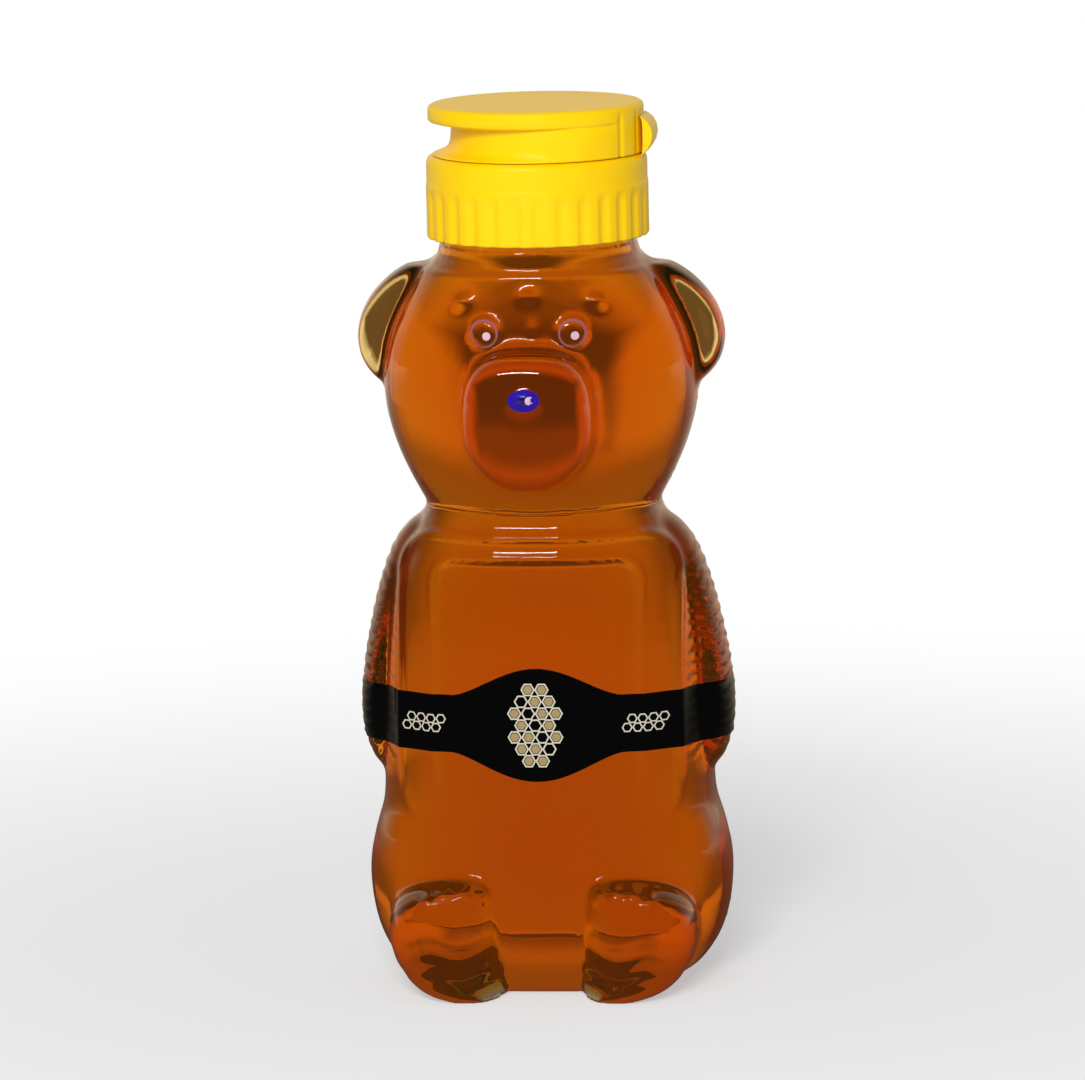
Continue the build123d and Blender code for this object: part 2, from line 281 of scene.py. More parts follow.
ARM = [(40.2, 27.1, -0.5, 4.2, 6.0), (42.4, 27.0, -0.5, 6.0, 8.2), (48, 27.4, -0.5, 7.1, 9.6),
       (57, 27.0, -0.5, 7.5, 9.9), (66, 25.7, -0.5, 7.4, 9.8), (75, 23.8, -0.5, 7.1, 9.2),
       (82, 22.1, -0.5, 6.2, 7.8), (86, 20.6, -0.5, 4.8, 6.0), (88, 19.2, -0.5, 3.4, 4.2)]
ARM_POWER = 2.1
FOOT_INNER = 7.2
FOOT = [(0, 0, -16.6, 6.2, 10.0), (1, 0, -16.6, 7.6, 11.1), (3, 0, -16.6, 8.9, 12.0),
        (8, 0, -16.6, 10.4, 12.8), (13, 0, -16.6, 10.8, 12.9), (18, 0, -16.6, 10.1, 11.8),
        (21, 0, -16.6, 8.4, 9.6), (22.6, 0, -16.6, 6.0, 7.0)]
FOOT_POWER = 2.3
SNOUT_HEIGHT = 108.4
SNOUT_HALF_HEIGHT = 13.4
SNOUT = [(16, 0, 0, 12.5, SNOUT_HALF_HEIGHT), (22.5, 0, 0, 12.4, 13.3), (27, 0, 0, 12.0, 12.9),
         (30, 0, 0, 11.0, 11.9), (31.55, 0, 0, 9.3, 10.3), (32.2, 0, 0, 6.75, 7.6)]
SNOUT_POWER = 2.8
SNOUT_TAPER = 0.30
EAR = [(-5.0, 0, 0, 11.3, 9.3), (-4.1, 0, 0, 12.5, 10.3), (-2.3, 0, 0, 13.2, 10.9), (0, 0, 0, 13.4, 11.1),
       (2.3, 0, 0, 13.2, 10.9), (4.1, 0, 0, 12.5, 10.3), (5.0, 0, 0, 11.3, 9.3)]
EAR_POWER = 2.1
EAR_PLACE = (21.6, 1.0, 122.8)
EAR_TILT = radians(-45)

# Neck, mouth and the wall's inside
NECK_RADIUS = 18.9
NECK_ROOT = 128
NECK_TOP = 138.9
FINISH_RADIUS = 17.45
MOUTH = 152.2
BORE_RADIUS = 15.3
BORE_ROOT = 126
OVERRUN = 3
FILL = 138.6
WALL = 0.7
HONEY_OVERLAP = 0.05
SKIN_VOXEL = 0.74
INNER_VOXEL = 1.3

# Screw thread, on the neck and in the cap
THREAD_PITCH = 25.4 / 6
THREAD_TURNS = 1.25
THREAD_STEPS = 90
THREAD_START = 143.2
THREAD_SINK = 0.5
THREAD_RISE = 1.3
THREAD_ROOT_HALF = 1.4
THREAD_CREST_HALF = 0.6

# Groove in the base, in shares of its outline
BASE_BAND = 0.12
GROOVE_HALF = (21, 14)
GROOVE_DEPTH = 0.6
GROOVE_IN = (0.72, 0.79)
GROOVE_OUT = (0.92, 0.99)


def drawn_in(rows, inset):
    """A form's rows with the form drawn in all round by the inset."""
    low, high = rows[0][0], rows[-1][0]
    squeeze = (high - low - 2 * inset) / (high - low)
    return [(low + inset + (h - low) * squeeze, x, y, a - inset, b - inset) for h, x, y, a, b in rows]


def add_bear(bm, inset):
    """Adds all the bear's main forms, drawn in by the inset. A head that is drawn in ends lower, under the
    neck's shoulder."""
    head = HEAD + (INNER_HEAD_TOP if inset else HEAD_TOP)
    add_loft(bm, between(drawn_in(TORSO, inset)), TORSO_POWER)
    add_loft(bm, between(drawn_in(head, inset)), HEAD_POWER)
    snout = between([(h - inset, x, y, a - inset, b - inset) for h, x, y, a, b in SNOUT])
    for v in add_loft(bm, snout, SNOUT_POWER, Matrix.Translation((0, 0, SNOUT_HEIGHT)) @ TOWARDS_FRONT):
        v.co.x *= 1 - SNOUT_TAPER * max(0, (SNOUT_HEIGHT - v.co.z) / SNOUT_HALF_HEIGHT) ** 2
    for side in (-1, 1):
        arm = [(h, side * x, y, a, b) for h, x, y, a, b in drawn_in(ARM, inset)]
        foot = [(h, side * (FOOT_INNER + inset + a), y, a, b) for h, x, y, a, b in drawn_in(FOOT, inset)]
        add_loft(bm, between(arm), ARM_POWER)
        add_loft(bm, between(foot), FOOT_POWER)
        ear_place = Matrix.Translation((side * EAR_PLACE[0], EAR_PLACE[1], EAR_PLACE[2])) @ TOWARDS_FRONT
        add_loft(bm, between(drawn_in(EAR, inset)), EAR_POWER,
                 ear_place @ Matrix.Rotation(side * EAR_TILT, 4, "Z"))


def add_round(bm, radius, low, high):
    """Adds an upright closed cylinder."""
    add_loft(bm, [(low, 0, 0, radius, radius), (high, 0, 0, radius, radius)], power=2, segments=96)


def add_thread(bm, root_radius, crest_radius, start):
    """Adds the turns of a screw thread, closed at both ends."""
    corners = [(root_radius, -THREAD_ROOT_HALF), (crest_radius, -THREAD_CREST_HALF),
               (crest_radius, THREAD_CREST_HALF), (root_radius, THREAD_ROOT_HALF)]
    verts = [bm.verts.new((r, 0, start + z)) for r, z in corners]
    first = [bm.edges.new(pair) for pair in zip(verts, verts[1:] + verts[:1])]
    climb = THREAD_PITCH * THREAD_TURNS / THREAD_STEPS
    turn = bmesh.ops.spin(bm, geom=verts + first, cent=(0, 0, 0), axis=(0, 0, 1), dvec=(0, 0, climb),
                          angle=2 * pi * THREAD_TURNS, steps=THREAD_STEPS)
    last = [g for g in turn["geom_last"] if isinstance(g, bmesh.types.BMEdge)]
    for end in (first, last):
        bmesh.ops.edgeloop_fill(bm, edges=end)


def merged(bm, voxel, smoothing):
    """One smooth skin round all the forms of a bmesh, by a voxel remesh and smoothing passes."""
    bmesh.ops.recalc_face_normals(bm, faces=bm.faces)
    mesh = bpy.data.meshes.new("forms")
    bm.to_mesh(mesh)
    bm.free()
    forms = bpy.data.objects.new("forms", mesh)
    bpy.context.scene.collection.objects.link(forms)
    remesh = forms.modifiers.new("skin", "REMESH")
    remesh.mode = "VOXEL"
    remesh.voxel_size = voxel
    skin = bmesh.new()
    skin.from_mesh(forms.evaluated_get(bpy.context.evaluated_depsgraph_get()).to_mesh())
    bpy.data.objects.remove(forms)
    for _ in range(smoothing):
        bmesh.ops.smooth_vert(skin, verts=skin.verts, factor=0.5, use_axis_x=True, use_axis_y=True,
                              use_axis_z=True)
    return skin


# The mould's finer details. A rise is how far the skin stands out of its form. Two numbers for a fade, an
# edge, or for in, up or off are the bounds between which a detail comes or goes.
PANEL_CENTER = 58.6
PANEL_REACH = (28, 92)
PANEL_HALF = (25.6, 27.0)
PANEL_CORNER = 7.5
FRAME_RISE = 0.75
BACK_FRAME_RISE = 0.55
FRAME_WIDTH = 0.9
FRAME_FADE = (29, 48)
WINDOW_HALF = (18.6, 22.6)
WINDOW_CORNER = 4.0
WINDOW_DEPTH = 0.55
WINDOW_EDGE = (-0.7, 0.7)
WINDOW_FADE = (36, 50)
LIP_PLACE = 0.9
LIP_RISE = 0.25
LIP_WIDTH = 0.6

RIB_RISE = 0.13
RIB_PITCH = 2.3
RIB_SWAYS = ((0.5, 0.8), (0.3, 0.6))
RIBS_IN = (26, 29)
RIBS_UP = (42, 46)
RIBS_OFF = (82, 87)

FOOT_LINE_RISE = 0.05
FOOT_LINE_PITCH = 3.4
FOOT_LINE_SWAY = (0.9, 0.55)
FOOT_LINES_IN = (12, 18)
FOOT_LINES_UP = (1.5, 4)
FOOT_LINES_OFF = (13, 16)

TOES = (11.0, 14.2, 17.4, 20.4)
TOE_HEIGHT = 20.3
TOE_ARC = 0.04
TOE_ARC_MIDDLE = 15
TOE_RISE = 0.9
TOE_WIDTH = 1.25
TOE_FRONT = -18
TOE_BAND = (16, 24)

FACE_FRONT = -14
FACE_BOTTOM = 116
EYE = (8.1, 124.0)
EYE_RISE = 1.1
EYE_EDGE = (1.4, 3.4)
EYE_RIM_PLACE = 2.5
EYE_RIM_RISE = 0.35
EYE_RIM_WIDTH = 0.45
BROW = (12.3, 129.3)
BROW_RISE = 1.0
BROW_WIDTH = 1.25
BROW_STRETCH = 1.25
BROW_SLOPE = 0.3
CREST_HEIGHT = 130.4
CREST_RISE = 0.8
CREST_WIDTH = 1.1
CREST_STRETCH = 1.3
BRIDGE = (0.8, 124.6)
BRIDGE_RISE = 0.4
BRIDGE_WIDTH = 0.9
BRIDGE_STRETCH = 1.6

NOSE = (0.0, 113.2)
NOSE_RISE = 1.3
NOSE_WIDTHS = (2.3, 1.7)
NOSE_FRONT = -28
NOSE_BOTTOM = 100

EAR_DOME_RISE = 0.12
EAR_DOME_HALF = (10.6, 8.4)
EAR_DOME_IN = (24, 27)
EAR_BACK = 2

NECK_DRAW = 0.5
NECK_DRAW_IN = (134.0, 135.0)
NECK_DRAW_TOP = 139.2
PARTING_RISE = 0.14
PARTING_WIDTH = 0.45
PARTING_REACH = 15
PARTING_TOP = 136
HEAD_PARTING_BOTTOM = 110
HEAD_PARTING_BACK = 1.0


def rounded_distance(x, z, half, corner):
    """Signed distance from a rounded rectangle round the origin, less than 0 inside it."""
    dx, dz = abs(x) - half[0] + corner, abs(z) - half[1] + corner
    return hypot(max(dx, 0), max(dz, 0)) + min(max(dx, dz), 0) - corner


def panel_relief(x, y, z):
    """The raised frames on the belly and back, and the sunk window with its lip in the front one."""
    if not PANEL_REACH[0] < z < PANEL_REACH[1]:
        return 0.0
    line = rounded_distance(x, z - PANEL_CENTER, PANEL_HALF, PANEL_CORNER)
    raised = bump(line, FRAME_WIDTH) * smooth_step(*FRAME_FADE, z)
    if y > 0:
        return BACK_FRAME_RISE * raised
    window = rounded_distance(x, z - PANEL_CENTER, WINDOW_HALF, WINDOW_CORNER)
    sunk = WINDOW_DEPTH * (1 - smooth_step(*WINDOW_EDGE, window))
    lip = LIP_RISE * bump(window - LIP_PLACE, LIP_WIDTH)
    return FRAME_RISE * raised + (lip - sunk) * smooth_step(*WINDOW_FADE, z)


def fur_relief(x, y, z):
    """Ribs of fur on the arms, and fainter lines of it round the feet."""
    fade = smooth_step(*RIBS_IN, abs(x)) * smooth_step(*RIBS_UP, z) * (1 - smooth_step(*RIBS_OFF, z))
    (across, across_rate), (along, along_rate) = RIB_SWAYS
    sway = across * sin(y * across_rate) + along * sin(z * along_rate + y)
    rise = RIB_RISE * fade * sin(2 * pi * (z + sway) / RIB_PITCH)
    if abs(x) > FOOT_INNER:
        fade = smooth_step(*FOOT_LINES_IN, -y) * smooth_step(*FOOT_LINES_UP, z)
        fade *= 1 - smooth_step(*FOOT_LINES_OFF, z)
        sway = FOOT_LINE_SWAY[0] * sin(abs(x) * FOOT_LINE_SWAY[1])
        rise += FOOT_LINE_RISE * fade * sin(2 * pi * (z + sway) / FOOT_LINE_PITCH)
    return rise


def toe_relief(x, y, z):
    """Four toes on the top of each foot, in a low arc."""
    if y > TOE_FRONT or not TOE_BAND[0] < z < TOE_BAND[1]:
        return 0.0
    rise = 0.0
    for toe in TOES:
        height = TOE_HEIGHT - TOE_ARC * (toe - TOE_ARC_MIDDLE) ** 2
        rise += TOE_RISE * bump(hypot(abs(x) - toe, z - height), TOE_WIDTH)
    return rise


def face_relief(x, y, z):
    """Eyes with their rims, brows, a bump on the forehead, the bridge of the nose and the nose."""
    rise = 0.0
    if y < FACE_FRONT and z > FACE_BOTTOM:
        from_eye = hypot(abs(x) - EYE[0], z - EYE[1])
        rise += EYE_RISE * (1 - smooth_step(*EYE_EDGE, from_eye))
        rise += EYE_RIM_RISE * bump(from_eye - EYE_RIM_PLACE, EYE_RIM_WIDTH)
        brow = abs(x) - BROW[0]
        rise += BROW_RISE * bump(hypot(brow / BROW_STRETCH, z - BROW[1] + BROW_SLOPE * brow), BROW_WIDTH)
        rise += CREST_RISE * bump(hypot(x / CREST_STRETCH, z - CREST_HEIGHT), CREST_WIDTH)
        from_bridge = hypot(x - BRIDGE[0], (z - BRIDGE[1]) / BRIDGE_STRETCH)
        rise += BRIDGE_RISE * bump(from_bridge, BRIDGE_WIDTH)
    if y < NOSE_FRONT and z > NOSE_BOTTOM:
        from_nose = hypot((x - NOSE[0]) / NOSE_WIDTHS[0], (z - NOSE[1]) / NOSE_WIDTHS[1])
        rise += NOSE_RISE * bump(from_nose, width=1)
    return rise


def ear_relief(x, y, z):
    """A faint dome on the front of each ear."""
    if y > EAR_BACK:
        return 0.0
    side_x, side_z = abs(x) - EAR_PLACE[0], z - EAR_PLACE[2]
    along, across = (side_x + side_z) * sqrt(0.5), (side_z - side_x) * sqrt(0.5)
    share = hypot(along / EAR_DOME_HALF[0], across / EAR_DOME_HALF[1])
    return EAR_DOME_RISE * max(0, 1 - share * share) * smooth_step(*EAR_DOME_IN, abs(x))


def moulding_relief(x, y, z):
    """The neck drawn in under the cap, and the parting line of the two halves of the mould."""
    rise = 0.0
    if z < NECK_DRAW_TOP:
        rise -= NECK_DRAW * smooth_step(*NECK_DRAW_IN, z)
    if abs(x) > PARTING_REACH and z < PARTING_TOP:
        line = HEAD_PARTING_BACK if z > HEAD_PARTING_BOTTOM else 0
        rise += PARTING_RISE * bump(y - line, PARTING_WIDTH)
    return rise


def relief(x, y, z):
    """How far the bottle's skin stands out of its main form at a place, from the mould's finer details."""
    details = (panel_relief, fur_relief, toe_relief, face_relief, ear_relief, moulding_relief)
    return sum(detail(x, y, z) for detail in details)


def base_height(x, y):
    """Height of the flat base, with its shallow oval groove."""
    share = hypot(x / GROOVE_HALF[0], y / GROOVE_HALF[1])
    return GROOVE_DEPTH * smooth_step(*GROOVE_IN, share) * (1 - smooth_step(*GROOVE_OUT, share))


def make_outer():
    """Outer skin of the bottle with its finer details, closed above the mouth."""
    bm = bmesh.new()
    add_bear(bm, 0)
    add_round(bm, NECK_RADIUS, NECK_ROOT, NECK_TOP)
    add_round(bm, FINISH_RADIUS, NECK_ROOT, MOUTH + OVERRUN)
    add_thread(bm, FINISH_RADIUS - THREAD_SINK, FINISH_RADIUS + THREAD_RISE, THREAD_START)
    skin = merged(bm, SKIN_VOXEL, smoothing=4)
    skin.normal_update()
    moves = [(v, v.normal * relief(*v.co)) for v in skin.verts]
    for v, move in moves:
        v.co += move
        if v.co.z < BASE_BAND:
            v.co.z = base_height(v.co.x, v.co.y)
    return skin


def make_inner():
    """Inner skin of the wall, closed above the mouth."""
    bm = bmesh.new()
    add_bear(bm, WALL)
    add_round(bm, BORE_RADIUS, BORE_ROOT, MOUTH + OVERRUN)
    return merged(bm, INNER_VOXEL, smoothing=2)


def cut_above(bm, height):
    """Cuts a skin off above a height and gives the edges round the cut."""
    cut = bmesh.ops.bisect_plane(bm, geom=bm.verts[:] + bm.edges[:] + bm.faces[:], dist=1e-5,
                                 plane_co=(0, 0, height), plane_no=(0, 0, 1), clear_outer=True)
    return [e for e in cut["geom_cut"] if isinstance(e, bmesh.types.BMEdge)]


def build_bottle(bm, wall):
    """The blown bottle: outer skin and inner wall, joined round the mouth. Honey wets the wall up to its
    level."""
    cut_above(wall, MOUTH)
    for face in wall.faces:
        face.material_index = int(face.calc_center_median().z < FILL)
    join_mesh(bm, wall)
    bmesh.ops.triangle_fill(bm, edges=[e for e in bm.edges if e.is_boundary], normal=(0, 0, 1))
    bmesh.ops.recalc_face_normals(bm, faces=bm.faces)
    shade(bm)
    materials = [clear_pet("blown_pet", PET_IOR), clear_pet("wetted_pet", WETTED_PET_IOR)]
    finish_mesh("bear_bottle", bm, materials, "bottle", ["bottle"])


def build_honey(bm):
    """The honey, lying on the whole inner wall up to its level in the neck."""
    bmesh.ops.recalc_face_normals(bm, faces=bm.faces)
    bm.normal_update()
    moves = [(v, v.normal * HONEY_OVERLAP) for v in bm.verts]
    for v, move in moves:
        v.co += move
    bmesh.ops.edgeloop_fill(bm, edges=cut_above(bm, FILL))
    bmesh.ops.recalc_face_normals(bm, faces=bm.faces)
    shade(bm, sharp_degrees=60)
    finish_mesh("honey_fill", bm, [amber_honey()], "bottle", ["honey"])


# Belt label, with plain honeycomb cells printed on it
BELT_CENTER = 51.6
BELT_HALF = 5.35
OVAL_HALF = 10.5
OVAL_REACH = 15.6
OVAL_FULLNESS = 0.72
FILM_GAP = 0.05
FILM = 0.15
BELT_END_TURN = radians(102.3)
BELT_COLUMNS = 80
BELT_ROWS = 7
TAUT_PASSES = 3
RAY_START = 60
INK_GAP = 0.01
INK = 0.03
CELL_STEP = (2.55, 2.21)
CELL_RING = (1.32, 1.02)
CELL_FILL = 0.86
CLUSTER_SHIFT = -0.2
CLUSTER = {-3: (-0.5, 0.5), -2: (-1, 0, 1), -1: (-1.5, -0.5, 0.5, 1.5), 0: (-1, 0, 1),
           1: (-1.5, -0.5, 0.5, 1.5), 2: (-1, 0, 1), 3: (-0.5, 0.5)}
SIDE_ROWS = (-22.2, 18.9)
SIDE_COLUMNS = (-1, 0, 1, 2)
SIDE_STEP = (1.9, 0.82)
SIDE_LEAN = 0.25
SIDE_RING = (0.98, 0.72)


def skin_radius(skin, turn, z):
    """How far the bottle's skin is from the axis, in a direction at a height."""
    out = Vector((sin(turn), -cos(turn), 0))
    hit = skin.ray_cast(out * RAY_START + Vector((0, 0, z)), -out)[0]
    return hypot(hit.x, hit.y)


def belt_half(x):
    """Half the belt's height at a place across the front: it swells into an oval in the middle."""
    if abs(x) > OVAL_REACH:
        return BELT_HALF
    swell = (0.5 + 0.5 * cos(pi * x / OVAL_REACH)) ** OVAL_FULLNESS
    return BELT_HALF + (OVAL_HALF - BELT_HALF) * swell


def taut(radii):
    """A row of the film, drawn a little taut over the creases that it crosses."""
    for _ in range(TAUT_PASSES):
        beside = zip(radii[:1] + radii, radii, radii[1:] + radii[-1:])
        radii = [max(here, (before + here + after) / 3) for before, here, after in beside]
    return radii


def build_label(skin):
    """The belt: a film drawn across the belly and round both arms. Gives the surface that is printed on."""
    turns = [BELT_END_TURN * i / BELT_COLUMNS for i in range(-BELT_COLUMNS, BELT_COLUMNS + 1)]
    halves = [belt_half(skin_radius(skin, turn, BELT_CENTER) * sin(turn)) for turn in turns]
    rows = []
    for row in range(-BELT_ROWS, BELT_ROWS + 1):
        heights = [BELT_CENTER + row / BELT_ROWS * half for half in halves]
        rows.append((heights, taut([skin_radius(skin, turn, z) for turn, z in zip(turns, heights)])))
    bm = bmesh.new()
    bmesh.ops.create_grid(bm, x_segments=2 * BELT_COLUMNS, y_segments=2 * BELT_ROWS, size=1)
    for v in bm.verts:
        column, row = round((v.co.x + 1) * BELT_COLUMNS), round((v.co.y + 1) * BELT_ROWS)
        turn, z, radius = turns[column], rows[row][0][column], rows[row][1][column] + FILM_GAP
        v.co = (radius * sin(turn), -radius * cos(turn), z)
    bmesh.ops.recalc_face_normals(bm, faces=bm.faces)
    if sum(f.normal.dot(f.calc_center_median() - Vector((0, 0, BELT_CENTER))) for f in bm.faces) < 0:
        bmesh.ops.reverse_faces(bm, faces=bm.faces)
    bmesh.ops.solidify(bm, geom=bm.faces[:], thickness=-FILM)
    bmesh.ops.recalc_face_normals(bm, faces=bm.faces)
    shade(bm, sharp_degrees=50)
    film = BVHTree.FromBMesh(bm)
    black = printed_film("black_printed_film", "010204", roughness=0.10)
    finish_mesh("belt_label", bm, [black], "bottle", ["label_belt"])
    return film


def add_cell(bm, x, z, outer, inner=0):
    """Adds one honeycomb cell as a flat hexagon, or a hexagon ring, in the front view."""
    place = Matrix.Translation((x, 0, z)) @ TOWARDS_FRONT @ Matrix.Rotation(radians(30), 4, "Z")
    rim = bmesh.ops.create_circle(bm, cap_ends=not inner, segments=6, radius=outer, matrix=place)["verts"]
    if inner:
        hole = bmesh.ops.create_circle(bm, cap_ends=False, segments=6, radius=inner, matrix=place)["verts"]
        bmesh.ops.bridge_loops(bm, edges=edges_at(rim + hole))


def lay_on(bm, surface, gap):
    """Lays flat print that faces the front on a surface, and gives it the thickness of ink."""
    bmesh.ops.triangulate(bm, faces=[f for f in bm.faces if len(f.verts) > 4])
    bmesh.ops.subdivide_edges(bm, edges=bm.edges[:], cuts=1, use_grid_fill=True)
    for v in bm.verts:
        hit = surface.ray_cast(Vector((v.co.x, -RAY_START, v.co.z)), Vector((0, 1, 0)))[0]
        v.co.y = hit.y - gap
    bmesh.ops.recalc_face_normals(bm, faces=bm.faces)
    for face in bm.faces:
        if face.normal.y > 0:
            face.normal_flip()
    bmesh.ops.solidify(bm, geom=bm.faces[:], thickness=-INK)
    bmesh.ops.recalc_face_normals(bm, faces=bm.faces)


def build_motif(film):
    """A plain honeycomb print on the belt: a cluster in the oval, with a few of its cells left hollow, and a
    short double row of hollow cells at each side."""
    cream, tan = bmesh.new(), bmesh.new()
    for row, columns in CLUSTER.items():
        for column in columns:
            x, z = CLUSTER_SHIFT + column * CELL_STEP[0], BELT_CENTER + row * CELL_STEP[1]
            add_cell(cream, x, z, *CELL_RING)
            if (row + int(2 * column)) % 3 != 0:
                add_cell(tan, x, z, CELL_FILL)
    for middle in SIDE_ROWS:
        for column in SIDE_COLUMNS:
            for row in (-1, 1):
                x = middle + (column + SIDE_LEAN * row) * SIDE_STEP[0]
                add_cell(cream, x, BELT_CENTER + row * SIDE_STEP[1], *SIDE_RING)
    for name, bm, colour in (("belt_print_cream", cream, "CFC8B4"), ("belt_print_tan", tan, "A08C60")):
        lay_on(bm, film, INK_GAP)
        ink = printed_film(name + "_ink", colour, roughness=0.35)
        finish_mesh(name, bm, [ink], "bottle", ())


# Ink on the face, with painted reflections and painted highlights on the eyes and nose
FACE_INK_GAP = 0.02
NOSE_INK = 2.5
NOSE_STRETCH = (1.15, 0.82)
# A mauve ring on each eye dome: painted reflection, for the ring of light that the dome's rim shows.
EYE_REFLECTION_RING = (2.6, 2.2)
# A pale spot of painted highlight, where the lamp's glint falls off centre on each eye and on the right of
# the nose.
HIGHLIGHT_SPOT_RADIUS = 0.75
INK_SEGMENTS = 32
EYE_HIGHLIGHT = (0.5, -0.4)
NOSE_HIGHLIGHT = (1.1, 0.1)


def build_face_print(skin):
    """Thin glossy ink on the nose, a fine ring on each eye that is a painted reflection, and a pale spot of
    painted highlight on all three.
    """
    nose, eyes, painted_highlights = bmesh.new(), bmesh.new(), bmesh.new()
    marks = [(nose, NOSE[0], NOSE[1], NOSE_INK, 0)]
    for side in (-1, 1):
        marks += [(eyes, side * EYE[0], EYE[1], *EYE_REFLECTION_RING)]
        marks += [(painted_highlights, side * EYE[0] + EYE_HIGHLIGHT[0], EYE[1] + EYE_HIGHLIGHT[1], HIGHLIGHT_SPOT_RADIUS, 0)]
    marks += [(painted_highlights, NOSE[0] + NOSE_HIGHLIGHT[0], NOSE[1] + NOSE_HIGHLIGHT[1], HIGHLIGHT_SPOT_RADIUS, 0)]
    for bm, x, z, outer, inner in marks:
        place = Matrix.Translation((x, 0, z)) @ TOWARDS_FRONT
        rim = bmesh.ops.create_circle(bm, cap_ends=False, segments=INK_SEGMENTS, radius=outer,
                                      matrix=place)["verts"]
        hole = bmesh.ops.create_circle(bm, cap_ends=not inner, segments=INK_SEGMENTS,
                                       radius=inner or outer / 2, matrix=place)["verts"]
        bmesh.ops.bridge_loops(bm, edges=edges_at(rim + hole))
    for v in nose.verts:
        v.co.x = NOSE[0] + (v.co.x - NOSE[0]) * NOSE_STRETCH[0]
        v.co.z = NOSE[1] + (v.co.z - NOSE[1]) * NOSE_STRETCH[1]
    # The eye rings and pale spots are painted reflections and highlights; only the nose's indigo is ink.
    for name, bm, colour in (("nose_print", nose, "2A1696"), ("painted_eye_reflection_ring", eyes, "96585F"),
                             ("painted_highlight_spot", painted_highlights, "DCB4C4")):
        lay_on(bm, skin, FACE_INK_GAP)
        shade(bm, sharp_degrees=60)
        finish_mesh(name, bm, [printed_film(name + "_ink", colour, roughness=0.12)], "bottle")


# Cap, in outlines of radius and height
CAP_RADIUS = 20.5
CAP_BORE = 18.95
CAP_PROFILE = [(20.05, 139.4), (20.32, 139.46), (20.46, 139.62), (CAP_RADIUS, 139.85), (CAP_RADIUS, 141.5),
               (CAP_RADIUS, 144), (CAP_RADIUS, 146.4), (CAP_RADIUS, 147.2), (CAP_RADIUS, 148.0),
               (CAP_RADIUS, 148.8), (CAP_RADIUS, 149.3), (20.47, 149.42), (20.40, 149.52), (20.38, 150.0),
               (20.38, 153.0), (20.34, 153.5), (20.2, 153.95), (19.95, 154.3), (19.6, 154.52), (19.2, 154.6),
               (18.5, 154.6), (18.3, 154.4), (18.3, 154.2), (5.0, 154.2), (4.7, 154.35), (4.6, 154.6),
               (4.6, 156.5), (4.5, 156.72), (4.3, 156.8), (3.5, 156.8), (3.28, 156.7), (3.2, 156.5),
               (3.2, 152.8), (CAP_BORE, 152.8), (CAP_BORE, 140.0), (19.2, 139.5)]
CAP_THREAD = (19.2, 17.75)
FLUTES = 30
FLUTE_SEGMENTS = 12
FLUTE_DEPTH = 0.42
FLUTE_HALF = 1.25
FLUTE_FADE = (147.0, 148.8)
SKIRT_SKIN = 20

# Lid: radius, height, and the share of the thumb recess that each row takes
LID_RADIUS = 19.9
LID_OUTLINE = [(0, 164, 0), (10, 164, 0), (16, 164, 0), (18.7, 164, 0), (19.25, 163.93, 0),
               (19.65, 163.68, 0), (19.85, 163.35, 0), (19.9, 163.0, 0), (19.9, 162.0, 0), (19.88, 161.3, 0),
               (19.75, 161.0, 0.02), (19.6, 160.85, 0.12), (19.6, 160.75, 0.4), (19.65, 160.6, 0.75),
               (19.75, 160.3, 0.93), (19.85, 159.7, 1), (19.9, 158.6, 1), (19.9, 157.4, 0.97),
               (19.9, 156.6, 0.9), (19.9, 156.0, 0.78), (19.9, 155.5, 0.58), (19.9, 155.15, 0.36),
               (19.88, 154.9, 0.2), (19.7, 154.75, 0.14), (18.5, 154.75, 1), (18.5, 156, 1), (18.5, 160, 1),
               (18.5, 162.2, 1), (18.0, 162.7, 1), (6, 162.7, 0), (0, 162.7, 0)]
LID_SEGMENTS = 240
LID_SKIN = 19.5
LID_WALL_TOP = 162.6
PLUG_PROFILE = [(0, 162.75), (3.05, 162.75), (3.05, 155.4), (2.9, 155.05), (2.7, 155.0), (2.4, 155.05),
                (2.25, 155.3), (2.25, 162.0), (0, 162.0)]
PLUG_SEGMENTS = 64
RECESS_SHIFT = 3.0
RECESS_BACK = 18.7
HINGE_HALF_TURN = radians(33)
HINGE_EDGE = 0.12
HINGE_FADE = (155.0, 155.4)
HINGE_CREASE = (0.5, 0.02)
STRAP_HALF_TURN = radians(16.5)
STRAP_CREASE = (0.4, 0.015)

# Living hinge
STRAP_SEAT = 19.75
STRAP_OUTER = [(STRAP_SEAT, 154.1), (20.35, 154.75), (21.2, 155.5), (21.85, 156.6), (22.15, 158.0),
               (21.95, 159.4), (21.3, 160.6), (20.4, 161.3), (STRAP_SEAT, 161.6)]
STRAP_INNER = [(STRAP_SEAT, 154.1), (20.0, 154.9), (20.1, 155.6), (20.15, 156.6), (20.15, 158.0),
               (20.15, 159.4), (20.1, 160.4), (20.0, 161.1), (STRAP_SEAT, 161.6)]
STRAP_ROWS = len(STRAP_OUTER) - 1
STRAP_COLUMNS = 20
STRAP_HALF_WIDTH = 5.5
STRAP_EDGE = 0.8
STRAP_ROUND = 6


def turned(bm, profile, steps, closed):
    """Spins a profile of radius and height points round the axis."""
    verts = [bm.verts.new((r, 0, z)) for r, z in profile]
    edges = [bm.edges.new(pair) for pair in zip(verts, verts[1:] + verts[:1] if closed else verts[1:])]
    bmesh.ops.spin(bm, geom=verts + edges, cent=(0, 0, 0), axis=(0, 0, 1), angle=2 * pi, steps=steps,
                   use_merge=True)
    bmesh.ops.remove_doubles(bm, verts=bm.verts, dist=WELD)
    bmesh.ops.recalc_face_normals(bm, faces=bm.faces)


